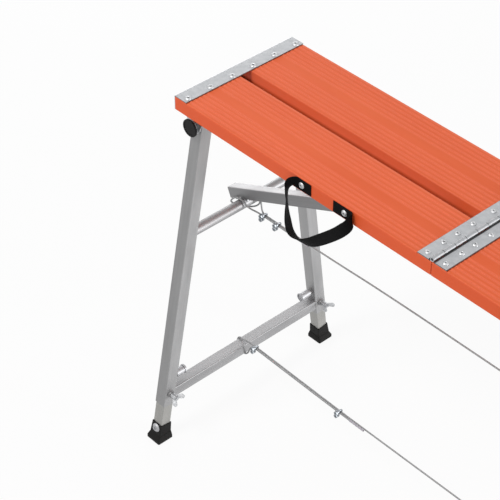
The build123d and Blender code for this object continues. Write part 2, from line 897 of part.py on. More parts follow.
# Clips on the stays: a bow round the live strand, a body on the dead one and two nuts
lower_fall = lower_lift / (lower_rest - lower_peak)
clip_rows = [(tx + d, upper_level) for d in upper_clips]
clip_rows += [(bx + d, lower_level + lower_fall * (lower_clips[1] - d)) for d in lower_clips]
throat = wire_radius + clip_fit
rod_spacing = throat + clip_rod / 2
with BuildPart() as stay_clips:
    for hand in (1, -1):
        for x, level in clip_rows:
            across = Plane(origin=(hand * x, 0, level), x_dir=(0, 0, 1), z_dir=(-1, 0, 0))
            with BuildSketch(across):
                Circle(throat + clip_rod)
                Rectangle(
                    2 * (throat + clip_rod),
                    strand_pitch + throat,
                    align=(Align.CENTER, Align.MAX),
                )
                Circle(throat, mode=Mode.SUBTRACT)
                Rectangle(
                    2 * throat,
                    strand_pitch + throat,
                    align=(Align.CENTER, Align.MAX),
                    mode=Mode.SUBTRACT,
                )
            extrude(amount=clip_rod / 2, both=True)
            seat = level_axis(hand * x, -strand_pitch - throat, level, -1)
            with BuildSketch(seat):
                SlotOverall(clip_body_width, clip_body_length, rotation=90)
            extrude(amount=clip_body_height)
            ends = seat.offset(clip_body_height)
            with BuildSketch(ends):
                with Locations((0, rod_spacing), (0, -rod_spacing)):
                    RegularPolygon(clip_nut_radius, 6)
            extrude(amount=clip_nut_height)
            with BuildSketch(ends):
                with Locations((0, rod_spacing), (0, -rod_spacing)):
                    Circle(clip_rod / 2)
            extrude(amount=clip_nut_height + clip_rod_end)
save(stay_clips.part, "stay_clips")

# Sleeves over the dead ends of the stays
dead_ends = (
    (tx + upper_dead_end, upper_sleeve, upper_level),
    (bx + lower_dead_end, lower_sleeve, lower_level),
)
with BuildPart() as stay_end_sleeves:
    for hand in (1, -1):
        for x, length, level in dead_ends:
            start = Plane(origin=(hand * x, -strand_pitch, level), x_dir=(0, 1, 0), z_dir=(-hand, 0, 0))
            with BuildSketch(start):
                Circle(sleeve_radius)
                Circle(wire_radius + sleeve_bore_fit, mode=Mode.SUBTRACT)
            extrude(amount=length)
save(stay_end_sleeves.part, "stay_end_sleeves")

print("strut slope in degrees", round(math.degrees(strut_slope), 3))
print("frame lean and leg splay in degrees", round(math.degrees(lean), 3), round(math.degrees(splay), 3))
print("strut pivot", strut_pivot)
for side in (-1, 1):
    print("leg direction", side, down_leg(side))
    print("pin axis origin", side, pin_axis(side).origin)
    print("wing axis origin", side, wing_axis(side).origin)
    print("foot on the floor", side, leg_point(side, along_leg(0)))
print("wing axis direction", inboard)
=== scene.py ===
import math

import bpy
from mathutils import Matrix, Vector


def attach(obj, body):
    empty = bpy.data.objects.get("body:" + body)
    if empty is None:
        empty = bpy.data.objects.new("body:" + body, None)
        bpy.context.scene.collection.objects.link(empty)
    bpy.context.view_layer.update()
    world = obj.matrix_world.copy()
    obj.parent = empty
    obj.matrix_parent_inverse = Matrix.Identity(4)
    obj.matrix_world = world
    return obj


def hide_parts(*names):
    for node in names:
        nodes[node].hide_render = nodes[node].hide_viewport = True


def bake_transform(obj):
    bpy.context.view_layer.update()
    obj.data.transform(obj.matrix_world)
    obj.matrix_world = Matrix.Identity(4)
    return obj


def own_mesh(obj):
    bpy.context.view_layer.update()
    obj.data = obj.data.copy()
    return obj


# Looks of the folding work platform. Metres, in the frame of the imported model.
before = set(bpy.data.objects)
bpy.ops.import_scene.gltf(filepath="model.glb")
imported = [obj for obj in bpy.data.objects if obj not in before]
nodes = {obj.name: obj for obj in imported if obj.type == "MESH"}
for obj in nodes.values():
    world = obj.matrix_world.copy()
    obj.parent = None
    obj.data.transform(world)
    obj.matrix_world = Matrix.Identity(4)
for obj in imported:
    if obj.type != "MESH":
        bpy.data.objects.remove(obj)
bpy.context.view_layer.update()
scene = bpy.context.scene
scene.view_settings.view_transform = "Standard"
MM = 0.001


def extent(node):
    """Lowest and highest corner of the box round a CAD node."""
    points = [nodes[node].matrix_world @ v.co for v in nodes[node].data.vertices]
    return [Vector([pick(p[axis] for p in points) for axis in range(3)]) for pick in (min, max)]


# Sizes, and places from the platform's middle and from the floor
rib_height = 0.0008
rib_pitch = 0.0106
rib_first = 0.0145
leaf_thickness = 0.002
plank_middle = 0.08175
bar_inboard = 0.6207
plank_low, plank_high = extent("right_rear_plank")
plate_low, plate_high = extent("right_end_plate")
deck_top = plank_high.z - rib_height
deck_bottom = plank_low.z
deck_half_width = plank_high.y
plate_edge = plate_low.x
plate_top = plate_high.z
leaf_edge = extent("right_hinge_leaf")[1].x
leaf_top = plank_high.z + leaf_thickness
strut_half = extent("right_strut")[1].y

# Directions of the legs and struts
leg_lean = 0.0284
leg_splay = 0.1521
leg_drop = 0.988
strut_run = 0.911
strut_fall = 0.4124


# Shader helpers


def new_material(name, values):
    material = bpy.data.materials.new(name)
    material.use_nodes = True
    tree = material.node_tree
    shader = tree.nodes["Principled BSDF"]
    for socket, value in values.items():
        shader.inputs[socket].default_value = value
    return material, tree, shader


def add(tree, kind, values=None, **settings):
    node = tree.nodes.new(kind)
    for name, value in settings.items():
        setattr(node, name, value)
    for socket, value in (values or {}).items():
        node.inputs[socket].default_value = value
    return node


def grain(tree, size, turn=(0, 0, 0), detail=3.0, rough=0.55):
    """Noise with features of that size along the turned axes, in metres."""
    place = add(tree, "ShaderNodeTexCoord")
    mapping = add(
        tree,
        "ShaderNodeMapping",
        {"Rotation": turn, "Scale": size},
        vector_type="TEXTURE",
    )
    noise = add(tree, "ShaderNodeTexNoise", {"Scale": 1.0, "Detail": detail, "Roughness": rough})
    tree.links.new(place.outputs["Object"], mapping.inputs["Vector"])
    tree.links.new(mapping.outputs["Vector"], noise.inputs["Vector"])
    return noise.outputs["Fac"]


def fitted(tree, value, low, high, start=0.3, end=0.7):
    node = add(
        tree,
        "ShaderNodeMapRange",
        {"From Min": start, "From Max": end, "To Min": low, "To Max": high},
    )
    tree.links.new(value, node.inputs["Value"])
    return node.outputs["Result"]


def mixed(tree, factor, first, second):
    """Colour between two, which the mix node takes on sockets 6 and 7 and gives on output 2."""
    node = add(tree, "ShaderNodeMix", data_type="RGBA")
    tree.links.new(factor, node.inputs["Factor"])
    for socket, colour in ((6, first), (7, second)):
        if isinstance(colour, tuple):
            node.inputs[socket].default_value = (*colour, 1.0)
        else:
            tree.links.new(colour, node.inputs[socket])
    return node.outputs[2]


def bumped(tree, shader, heights):
    """Chain of bumps, each given as height, strength and distance."""
    normal = None
    for height, strength, distance in heights:
        bump = add(tree, "ShaderNodeBump", {"Strength": strength, "Distance": distance})
        tree.links.new(height, bump.inputs["Height"])
        if normal:
            tree.links.new(normal, bump.inputs["Normal"])
        normal = bump.outputs["Normal"]
    tree.links.new(normal, shader.inputs["Normal"])


def turn_to(direction):
    return tuple(Vector(direction).to_track_quat("Z", "Y").to_euler())


def calc(tree, operation, *values):
    """Socket with the result of an operation on sockets and numbers."""
    node = add(tree, "ShaderNodeMath", operation=operation)
    for slot, value in enumerate(values):
        if isinstance(value, float):
            node.inputs[slot].default_value = value
        else:
            tree.links.new(value, node.inputs[slot])
    return node.outputs[0]


def position(tree):
    """Sockets with a place: distance along the platform from its middle, place across it and height."""
    place = add(tree, "ShaderNodeTexCoord")
    split = add(tree, "ShaderNodeSeparateXYZ")
    tree.links.new(place.outputs["Object"], split.inputs["Vector"])
    along = calc(tree, "ABSOLUTE", split.outputs["X"])
    return along, split.outputs["Y"], split.outputs["Z"]


# Materials


def rib_painted_highlights(tree):
    """Painted highlights on the plank tops, from zero to one: stripes on the ribs, moved onto their
    front flanks where light catches them, and a line on the front plank's edge at the gap.
    """
    to_front = 0.0021
    plain_middle = 0.0098
    gap_edge = 0.0166
    _, y, z = position(tree)
    from_middle = calc(tree, "ABSOLUTE", calc(tree, "ADD", y, to_front))
    across = calc(tree, "ABSOLUTE", calc(tree, "SUBTRACT", from_middle, plank_middle))
    from_rib = calc(tree, "ADD", across, rib_pitch * 2 - rib_first)
    near = calc(tree, "PINGPONG", from_rib, rib_pitch / 2)
    stripe = fitted(tree, near, 1.0, 0.0, 0.0006, 0.0042)
    ribbed = calc(tree, "GREATER_THAN", across, plain_middle)
    edge = calc(tree, "COMPARE", y, -gap_edge, 0.001)
    pale = calc(tree, "MAXIMUM", calc(tree, "MULTIPLY", stripe, ribbed), edge)
    return calc(tree, "MULTIPLY", pale, calc(tree, "GREATER_THAN", z, deck_top - 0.0025))


def deck_shade(tree):
    """Dark under the edges of the sheets on the plank tops and down in the gap between planks."""
    shadow = 0.0006
    gap_half = 0.0153
    along, y, z = position(tree)
    under_plate = calc(tree, "COMPARE", along, plate_edge - shadow, shadow)
    under_leaf = calc(tree, "COMPARE", along, leaf_edge + shadow, shadow)
    top = calc(tree, "MULTIPLY", calc(tree, "GREATER_THAN", z, deck_top - 0.0015), 0.65)
    edges = calc(tree, "MULTIPLY", calc(tree, "MAXIMUM", under_plate, under_leaf), top)
    in_gap = calc(tree, "LESS_THAN", calc(tree, "ABSOLUTE", y), gap_half)
    low = fitted(tree, z, 0.5, 0.0, deck_bottom + 0.002, deck_bottom + 0.01)
    return calc(tree, "MAXIMUM", edges, calc(tree, "MULTIPLY", low, in_gap))


def outer_sides_painted_shade(tree):
    """Painted shade: deeper colour on the front and rear sides of the deck than on its top."""
    across = calc(tree, "ABSOLUTE", position(tree)[1])
    out = calc(tree, "GREATER_THAN", across, deck_half_width - 0.0006)
    return calc(tree, "MULTIPLY", out, 0.6)


def powder_coat():
    material, tree, shader = new_material("orange_powder_coat", {"Specular IOR Level": 0.2})
    drift = grain(tree, (0.22, 0.05, 0.05), detail=2.0)
    lines = grain(tree, (0.35, 0.0011, 0.0011), detail=1.0)
    peel = grain(tree, (0.0016, 0.0016, 0.0016), detail=2.0)
    drifting = fitted(tree, drift, 0.0, 1.0)
    colour = mixed(tree, drifting, (0.745, 0.118, 0.035), (0.785, 0.134, 0.043))
    colour = mixed(tree, fitted(tree, lines, 0.0, 0.1), colour, (0.86, 0.2, 0.1))
    highlight_share = fitted(tree, rib_painted_highlights(tree), 0.0, 0.34, 0.0, 1.0)
    # Painted highlight: paler orange on the rib stripes and on the gap edge.
    colour = mixed(tree, highlight_share, colour, (0.9, 0.25, 0.15))
    # Painted shade: deeper orange on the deck's front and rear sides.
    colour = mixed(tree, outer_sides_painted_shade(tree), colour, (0.72, 0.085, 0.018))
    colour = mixed(tree, deck_shade(tree), colour, (0.06, 0.01, 0.005))
    tree.links.new(colour, shader.inputs["Base Color"])
    tree.links.new(fitted(tree, peel, 0.4, 0.54), shader.inputs["Roughness"])
    bumped(tree, shader, [(lines, 0.1, 0.0003), (peel, 0.1, 0.0003)])
    return material


def cut_edges_painted_shade(tree):
    """One on the cut edges of the end plates and hinge leaves, which take a painted shade."""
    along, y, z = position(tree)
    plate = calc(tree, "COMPARE", along, plate_edge, 0.0003)
    leaf = calc(tree, "COMPARE", along, leaf_edge, 0.0003)
    ends = calc(tree, "GREATER_THAN", calc(tree, "ABSOLUTE", y), deck_half_width - 0.0002)
    edges = calc(tree, "MAXIMUM", calc(tree, "MAXIMUM", plate, leaf), ends)
    return calc(tree, "MULTIPLY", edges, calc(tree, "GREATER_THAN", z, deck_top + 0.0005))


def hinge_seam_painted_shade(tree):
    """One in the seam at the foot of the hinge barrel, which takes a painted shade."""
    seam = 0.0058
    along, _, z = position(tree)
    near = calc(tree, "COMPARE", along, seam, 0.002)
    return calc(tree, "MULTIPLY", near, calc(tree, "LESS_THAN", z, deck_top + 0.0052))


def galvanised(name="galvanised_sheet", hinge=False):
    material, tree, shader = new_material(name, {"Metallic": 1.0})
    spangle = grain(tree, (0.014, 0.009, 0.014), detail=4.0, rough=0.7)
    scuff = grain(tree, (0.0012, 0.0012, 0.0012), detail=2.0)
    draw = grain(tree, (0.0008, 0.12, 0.0008), detail=1.0)
    spangled = fitted(tree, spangle, 0.0, 1.0)
    tone = mixed(tree, spangled, (0.425, 0.438, 0.454), (0.535, 0.543, 0.558))
    # Painted shade: near black on the cut edges.
    dark = fitted(tree, cut_edges_painted_shade(tree), 0.0, 0.6, 0.0, 1.0)
    if hinge:
        # Painted shade: the barrel is darkened to take down the light it catches.
        height = position(tree)[2]
        barrel_painted_shade = fitted(tree, height, 0.0, 0.5, deck_top + 0.0035, deck_top + 0.0065)
        tone = mixed(tree, barrel_painted_shade, tone, (0.31, 0.32, 0.332))
        # Painted shade in the seam at the foot of the barrel.
        dark = calc(tree, "MAXIMUM", dark, fitted(tree, hinge_seam_painted_shade(tree), 0.0, 0.85, 0.0, 1.0))
    tone = mixed(tree, dark, tone, (0.03, 0.03, 0.032))
    tree.links.new(tone, shader.inputs["Base Color"])
    rough = (0.5, 0.62) if hinge else (0.36, 0.52)
    tree.links.new(fitted(tree, spangle, *rough), shader.inputs["Roughness"])
    bumped(tree, shader, [(scuff, 0.08, 0.0002), (draw, 0.06, 0.0002)])
    return material


def strut_sides_painted_shade(tree):
    """Painted shade on a strut's front and rear sides, to keep them darker than its top."""
    across = calc(tree, "ABSOLUTE", position(tree)[1])
    return fitted(tree, across, 0.0, 0.36, strut_half - 0.0008, strut_half - 0.0001)


def bar_side_painted_shade(tree):
    """Painted shade on a crossbar's inboard side."""
    return fitted(tree, position(tree)[0], 0.17, 0.0, bar_inboard, bar_inboard + 0.0007)


def leg_outside_painted_shade(tree):
    """Painted shade on the outer legs' faces to the front and rear of the platform."""
    face = 0.2461
    _, y, z = position(tree)
    across = calc(tree, "MULTIPLY", calc(tree, "ABSOLUTE", y), leg_drop)
    out = calc(tree, "ADD", across, calc(tree, "MULTIPLY", z, leg_splay))
    return fitted(tree, out, 0.0, 0.14, face, face + 0.0006)


def aluminium(name, direction, tint, rough=(0.48, 0.62), painted_shade=None):
    """Mill finish tube with die lines along its length, and painted shade from a mask where one is
    given.
    """
    turn = turn_to(direction)
    material, tree, shader = new_material(name, {"Metallic": 1.0, "Specular IOR Level": 0.5})
    lines = grain(tree, (0.0011, 0.0011, 0.3), turn, detail=2.0)
    cloud = grain(tree, (0.03, 0.03, 0.11), turn, detail=3.0)
    specks = grain(tree, (0.0016, 0.0016, 0.004), turn, detail=2.0)
    dull, clear, line = (tuple(v * t for t in tint) for v in (0.295, 0.37, 0.52))
    tone = mixed(tree, fitted(tree, cloud, 0.0, 1.0), dull, clear)
    tone = mixed(tree, fitted(tree, lines, 0.0, 0.22), tone, line)
    # Painted shade: the given mask mixes the tone towards black.
    if painted_shade:
        tone = mixed(tree, painted_shade(tree), tone, (0.0, 0.0, 0.0))
    tree.links.new(tone, shader.inputs["Base Color"])
    tree.links.new(fitted(tree, cloud, *rough), shader.inputs["Roughness"])
    bumped(tree, shader, [(lines, 0.1, 0.0003), (specks, 0.05, 0.0002)])
    return material


def bright_zinc(name="bright_zinc", tone=(0.56, 0.57, 0.585), low=0.22, high=0.38):
    material, tree, shader = new_material(name, {"Metallic": 1.0})
    cloud = grain(tree, (0.006, 0.006, 0.006), detail=3.0)
    pits = grain(tree, (0.0009, 0.0009, 0.0009), detail=2.0)
    dark = tuple(0.72 * c for c in tone)
    tree.links.new(mixed(tree, fitted(tree, cloud, 0.0, 1.0), dark, tone), shader.inputs["Base Color"])
    tree.links.new(fitted(tree, cloud, low, high), shader.inputs["Roughness"])
    bumped(tree, shader, [(pits, 0.07, 0.0002)])
    return material


def black_moulding(name, tone, low, high, size):
    material, tree, shader = new_material(name, {"Specular IOR Level": 0.18})
    dust = grain(tree, (0.012, 0.012, 0.012), detail=4.0)
    texture = grain(tree, (size, size, size), detail=2.0)
    pale = tuple(1.8 * c for c in tone)
    tree.links.new(mixed(tree, fitted(tree, dust, 0.0, 1.0), tone, pale), shader.inputs["Base Color"])
    tree.links.new(fitted(tree, dust, low, high), shader.inputs["Roughness"])
    bumped(tree, shader, [(texture, 0.25, 0.0003)])
    return material


def grey_sleeving():
    material, tree, shader = new_material("grey_sleeving", {"Specular IOR Level": 0.45})
    cloud = grain(tree, (0.01, 0.003, 0.003), detail=3.0)
    tree.links.new(
        mixed(tree, fitted(tree, cloud, 0.0, 1.0), (0.38, 0.375, 0.42), (0.5, 0.49, 0.54)),
        shader.inputs["Base Color"],
    )
    tree.links.new(fitted(tree, cloud, 0.35, 0.5), shader.inputs["Roughness"])
    bumped(tree, shader, [(cloud, 0.1, 0.0003)])
    return material


def webbing():
    """Black woven band: ribs across it and a twill along it, from its own UV in metres."""
    rib, twill = 0.0016, 0.0022
    material, tree, shader = new_material("black_webbing", {"Specular IOR Level": 0.06})
    place = add(tree, "ShaderNodeUVMap", uv_map="band")
    split = add(tree, "ShaderNodeSeparateXYZ")
    tree.links.new(place.outputs["UV"], split.inputs["Vector"])
    waves = []
    for socket, pitch in (("X", rib), ("Y", twill)):
        turns = calc(tree, "MULTIPLY", split.outputs[socket], 2 * math.pi / pitch)
        waves.append(calc(tree, "SINE", turns))
    weave = calc(tree, "MULTIPLY", *waves)
    fuzz = grain(tree, (0.0012, 0.0012, 0.0012), detail=2.0)
    shade = fitted(tree, weave, 0.0, 1.0, -1.0, 1.0)
    tone = mixed(tree, shade, (0.002, 0.002, 0.0022), (0.007, 0.007, 0.0074))
    tree.links.new(tone, shader.inputs["Base Color"])
    tree.links.new(fitted(tree, fuzz, 0.55, 0.75), shader.inputs["Roughness"])
    bumped(tree, shader, [(weave, 0.5, 0.0003), (fuzz, 0.2, 0.0002)])
    return material


hands = {"left": -1, "right": 1}
places = {"front": -1, "rear": 1}
down = {
    (side, place): (hand * leg_lean, way * leg_splay, -leg_drop)
    for side, hand in hands.items()
    for place, way in places.items()
}
orange = powder_coat()
sheet_steel = galvanised()
hinge_steel = galvanised("galvanised_hinge", hinge=True)
zinc = bright_zinc()
satin = bright_zinc("satin_zinc", (0.52, 0.525, 0.54), 0.52, 0.65)
rivet_zinc = bright_zinc("rivet_zinc", (0.64, 0.65, 0.665), 0.42, 0.54)
# The mandrel stub is real; its near black tone is also painted shade down in the rivet's hole.
rivet_stem_shaded = bright_zinc("rivet_stem_shaded", (0.14, 0.14, 0.145), 0.4, 0.5)
dark_steel = bright_zinc("dark_steel", (0.07, 0.07, 0.073), 0.4, 0.5)
clip_zinc = bright_zinc("clip_zinc", (0.36, 0.385, 0.41), 0.38, 0.5)
wire_steel = bright_zinc("wire_steel", (0.4, 0.405, 0.41), 0.62, 0.74)
# The crossbar and strut copies of the aluminium are lighter than the legs and tube: painted light for
# the light on their tops.
tube_metal = aluminium("aluminium_crosstube", (0, 1, 0), (1.0, 1.0, 1.02))
bar_metal = aluminium("aluminium_crossbar", (0, 1, 0), (1.2, 1.2, 1.22), (0.54, 0.68), bar_side_painted_shade)
rubber = black_moulding("black_rubber", (0.006, 0.0057, 0.0055), 0.6, 0.8, 0.0012)
plastic = black_moulding("black_plastic", (0.004, 0.004, 0.0042), 0.5, 0.65, 0.0008)
sleeving = grey_sleeving()
band = webbing()
leg_metal, inner_metal = {}, {}
for key, axis in down.items():
    name = f"aluminium_{key[0]}_{key[1]}"
    leg_metal[key] = aluminium(name, axis, (1.05, 1.05, 1.06), painted_shade=leg_outside_painted_shade)
    inner_metal[key] = aluminium(f"{name}_inner", axis, (1.04, 1.03, 0.99))
strut_metal = {
    side: aluminium(
        f"aluminium_{side}_strut",
        (hand * strut_run, 0, -strut_fall),
        (1.22, 1.22, 1.24),
        painted_shade=strut_sides_painted_shade,
    )
    for side, hand in hands.items()
}


def paint(node, material):
    slots = nodes[node].data.materials
    slots.clear()
    slots.append(material)


for side in hands:
    for place in places:
        paint(f"{side}_{place}_plank", orange)
        paint(f"{side}_{place}_outer_leg", leg_metal[side, place])
        paint(f"{side}_{place}_inner_leg", inner_metal[side, place])
        paint(f"{side}_{place}_foot", rubber)
        paint(f"{side}_{place}_foot_screw", satin)
        paint(f"{side}_{place}_pull_pin", satin)
        paint(f"{side}_{place}_wing_bolt", zinc)
    for piece in ("end_plate", "pivot_brackets", "strut_bracket"):
        paint(f"{side}_{piece}", sheet_steel)
    paint(f"{side}_hinge_leaf", hinge_steel)
    for piece in ("pivot_bolts", "strut_pivot_bolt", "strut_saddle"):
        paint(f"{side}_{piece}", zinc)
    paint(f"{side}_pivot_caps", plastic)
    paint(f"{side}_round_crosstube", tube_metal)
    paint(f"{side}_crossbar", bar_metal)
    paint(f"{side}_strut", strut_metal[side])
paint("hinge_pin", dark_steel)


# Mesh helpers


def make_object(name, verts, faces, *materials, sharp=None, second_from=None):
    """Smooth mesh; faces from the given one on take the second material."""
    mesh = bpy.data.meshes.new(name)
    mesh.from_pydata([tuple(v) for v in verts], [], faces)
    mesh.update()
    mesh.shade_smooth()
    if sharp:
        mesh.set_sharp_from_angle(angle=math.radians(sharp))
    for material in materials:
        mesh.materials.append(material)
    if second_from is not None:
        for face in mesh.polygons[second_from:]:
            face.material_index = 1
    piece = bpy.data.objects.new(name, mesh)
    scene.collection.objects.link(piece)
    return piece


def rings_to_faces(count, sides):
    """Faces of a skin over rings of vertices, with a cap on each end."""
    faces = []
    for i in range(count - 1):
        for k in range(sides):
            a = i * sides + k
            b = i * sides + (k + 1) % sides
            faces.append((a, b, b + sides, a + sides))
    faces.append(tuple(reversed(range(sides))))
    faces.append(tuple((count - 1) * sides + k for k in range(sides)))
    return faces


def carried_frames(points):
    """Two directions square to a line at each of its points, carried along without twist."""
    frames = []
    across = None
    for i in range(len(points)):
        ahead = (points[min(i + 1, len(points) - 1)] - points[max(i - 1, 0)]).normalized()
        if across is None:
            across = ahead.orthogonal().normalized()
        across = (across - ahead * across.dot(ahead)).normalized()
        frames.append((across, ahead.cross(across)))
    return frames


def tube(points, radius, sides):
    """Vertices and faces of a plain round tube along points."""
    verts = []
    for here, (u, v) in zip(points, carried_frames(points)):
        for k in range(sides):
            angle = 2 * math.pi * k / sides
            verts.append(here + (u * math.cos(angle) + v * math.sin(angle)) * radius)
    return verts, rings_to_faces(len(points), sides)


def turned(profile, sides, origin, axis, first=None):
    """Vertices and faces of a profile of (radius, height) turned about an axis."""
    up = Vector(axis).normalized()
    u = Vector(first) if first else up.orthogonal().normalized()
    v = up.cross(u)
    verts = []
    for radius, height in profile:
        for k in range(sides):
            angle = 2 * math.pi * k / sides
            out = u * math.cos(angle) + v * math.sin(angle)
            verts.append(Vector(origin) + out * radius + up * height)
    return verts, rings_to_faces(len(profile), sides)


def joined(parts):
    """One list of vertices and faces from several."""
    verts, faces = [], []
    for part_verts, part_faces in parts:
        base = len(verts)
        verts.extend(part_verts)
        faces.extend(tuple(base + i for i in face) for face in part_faces)
    return verts, faces


# Camera
camera_tilt = 39.27
camera_turn = 47.64
camera_data = bpy.data.cameras.new("camera")
camera_data.lens = 129.98
camera_data.sensor_width = 36.0
camera = bpy.data.objects.new("camera", camera_data)
camera.location = (1.4971, -1.9220, 2.7267)
camera.rotation_euler = (math.radians(90 - camera_tilt), 0, math.radians(camera_turn))
scene.collection.objects.link(camera)
scene.camera = camera


# Wire stays, each doubled at its ends with the strands side by side

strand_pitch = 4.4 * MM
wire_radius = 1.75 * MM
wire_relief = 0.05
point_spacing = 1.6 * MM
clip_spread = 3.85 * MM
clip_rod = 1.75 * MM
clip_body_reach = 4.8
clip_nut_radius = 4.8 * MM
clip_nut_height = 3.8 * MM
arc_steps = 8


def smooth_line(points):
    """Points read from the spline that has these control points."""
    curve = bpy.data.curves.new("route", "CURVE")
    curve.dimensions = "3D"
    spline = curve.splines.new("NURBS")
    spline.points.add(len(points) - 1)
    for point, place in zip(spline.points, points):
        point.co = (*(c * MM for c in place), 1.0)
    spline.order_u = 3
    spline.use_endpoint_u = True
    spline.resolution_u = 450
    holder = bpy.data.objects.new("route", curve)
    mesh = bpy.data.meshes.new_from_object(holder)
    line = [v.co.copy() for v in mesh.vertices]
    bpy.data.meshes.remove(mesh)
    bpy.data.objects.remove(holder)
    bpy.data.curves.remove(curve)
    kept = [line[0]]
    for here in line[1:]:
        if (here - kept[-1]).length > point_spacing:
            kept.append(here)
    return kept


def rope(name, points, start, radius, lobes=6, lay=0.026):
    """Twisted wire rope along points; start is the distance already run."""
    sides = lobes * 4
    verts = []
    run = start
    for i, (here, (u, v)) in enumerate(zip(points, carried_frames(points))):
        if i:
            run += (here - points[i - 1]).length
        twist = 2 * math.pi * run / lay
        for k in range(sides):
            angle = 2 * math.pi * k / sides
            lobe = abs(math.cos(lobes * angle / 2))
            reach = radius * (1 - wire_relief + wire_relief * lobe)
            out = u * math.cos(angle + twist) + v * math.sin(angle + twist)
            verts.append(here + out * reach)
    piece = make_object(name, verts, rings_to_faces(len(points), sides), wire_steel, sharp=70)
    return piece, run


def hex_nut(centre, radius, height):
    """Nut that faces the front, with its corners turned off."""
    cut = 0.14 * height
    face = 0.88 * radius
    profile = [(face, 0.0), (radius, cut), (radius, height - cut), (face, height)]
    return turned(profile, 6, centre, (0, -1, 0), (1, 0, 0))


def clip_body(x, level, back):
    """Cast body with round ends and softened edges, thick from back toward the front."""
    verts = []
    rings = [(1.0, 0.1), (0.25, 0.5), (0.0, 1.2), (0.0, 4.2), (0.25, 4.9), (1.0, 5.3)]
    for inset, depth in rings:
        for hand in (1, -1):
            for step in range(arc_steps + 1):
                angle = math.pi * step / arc_steps
                reach = (clip_body_reach - inset) * MM
                across = hand * math.cos(angle) * reach
                high = hand * (clip_spread + math.sin(angle) * reach)
                verts.append(Vector((x + across, back - depth * MM, level + high)))
    return verts, rings_to_faces(len(rings), 2 * (arc_steps + 1))


def wire_clip(x, level):
    """Clip on two strands: a bow round the rear one, a body on the front one and two nuts."""
    back = -strand_pitch - 2.05 * MM
    tip = back - 10.6 * MM
    bend = -2.0 * MM
    nut_seat = back - 5.4 * MM
    top, bottom = level + clip_spread, level - clip_spread
    path = [Vector((x, tip, top)), Vector((x, bend, top))]
    for step in range(arc_steps + 1):
        angle = math.pi * step / arc_steps
        out, high = clip_spread * math.sin(angle), clip_spread * math.cos(angle)
        path.append(Vector((x, out, level + high)))
    path += [Vector((x, bend, bottom)), Vector((x, tip, bottom))]
    parts = [tube(path, clip_rod, 12), clip_body(x, level, back)]
    for height in (top, bottom):
        parts.append(hex_nut(Vector((x, nut_seat, height)), clip_nut_radius, clip_nut_height))
    return joined(parts)


def end_sleeve(x, length, level, hand):
    """Crimped sleeve over a dead end."""
    bore, rim, outside, crimp = 1.5, 2.2, 2.45, 2.15
    chamfer = 0.6
    profile = [(bore, 0.0), (rim, 0.0), (outside, chamfer)]
    for share in (0.2, 0.4, 0.6, 0.8):
        middle = share * length / MM
        profile += [(outside, middle - 2.2), (crimp, middle - 1.0)]
        profile += [(crimp, middle + 1.0), (outside, middle + 2.2)]
    end = length / MM
    profile += [(outside, end - chamfer), (rim, end), (bore, end)]
    scaled = [(r * MM, h * MM) for r, h in profile]
    return turned(scaled, 16, (x, -strand_pitch, level), (-hand, 0, 0))


def make_stay(name, half_route, live, clips, sleeve, split):
    """Stay in three pieces: a middle run and an end run at each side, with their clips and sleeves."""
    dead_end, sleeve_length = sleeve
    route = half_route + [(-x, y, z) for x, y, z in reversed(half_route)]
    line = smooth_line(route)
    low = next(i for i, p in enumerate(line) if p.x > -split and i > len(line) // 4)
    high = next(i for i, p in enumerate(line) if p.x > split and i > len(line) // 4)
    runs = {"left": line[: low + 1], "middle": line[low : high + 1], "right": line[high:]}
    run = 0.0
    ropes = {}
    for part, points in runs.items():
        ropes[part], run = rope(f"{name}_{part}", points, run, wire_radius)
        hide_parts(name)
    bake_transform(ropes["middle"])
    for hand, side in ((1, "left"), (-1, "right")):
        bodies = joined([wire_clip(hand * x, level) for x, level in clips])
        fittings = make_object(f"{side}_{name}_clips", *bodies, clip_zinc, sharp=40)
        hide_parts("stay_clips")
        tip = make_object(
            f"{side}_{name}_sleeve",
            *end_sleeve(hand * dead_end, sleeve_length, live, hand),
            sleeving,
            sharp=60,
        )
        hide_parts("stay_end_sleeves")
        for piece in (ropes[side], fittings, tip):
            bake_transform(piece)
        points = runs[side] if side == "right" else runs[side][::-1]


make_stay(
    "upper_stay",
    [
        (-438.0, -4.4, 510.8),
        (-558.0, -4.4, 510.8),
        (-579.0, -4.4, 510.8),
        (-600.8, -15.5, 518.1),
        (-611.3, -17.0, 529.1),
        (-634.8, -17.0, 527.6),
        (-653.8, -17.0, 504.6),
        (-644.8, -4.0, 494.6),
        (-616.8, 12.0, 495.6),
        (-598.8, 16.0, 510.6),
        (-593.8, 12.0, 532.6),
        (-580.8, 2.0, 537.6),
        (-574.3, 0.0, 510.8),
        (-558.0, 0.0, 510.8),
        (-389.8, 0.0, 510.8),
        (-229.8, 0.0, 517.3),
    ],
    live=510.8 * MM,
    clips=((-565.0 * MM, 510.8 * MM), (-525.0 * MM, 510.8 * MM)),
    sleeve=(-438.0 * MM, 48.0 * MM),
    split=0.380,
)
make_stay(
    "lower_stay",
    [
        (-265.0, -4.4, 133.65),
        (-336.0, -4.4, 133.65),
        (-575.0, -4.4, 139.5),
        (-602.0, -4.4, 140.15),
        (-615.0, -4.4, 101.5),
        (-649.5, -2.2, 101.0),
        (-650.0, 0.0, 133.65),
        (-629.0, 0.0, 135.8),
        (-602.0, 0.0, 140.15),
        (-575.0, 0.0, 139.5),
        (-336.0, 0.0, 133.65),
        (-265.0, 0.0, 133.65),
    ],
    live=133.65 * MM,
    clips=((-589.0 * MM, 139.83 * MM), (-336.0 * MM, 133.95 * MM)),
    sleeve=(-265.0 * MM, 40.0 * MM),
    split=0.202,
)


# Rivet heads

rivet_profile = [
    (0.0, 0.35),
    (1.35, 0.35),
    (1.45, 1.55),
    (1.9, 1.95),
    (2.6, 1.9),
    (3.6, 1.55),
    (4.5, 0.95),
    (5.0, 0.35),
    (5.05, 0.0),
]


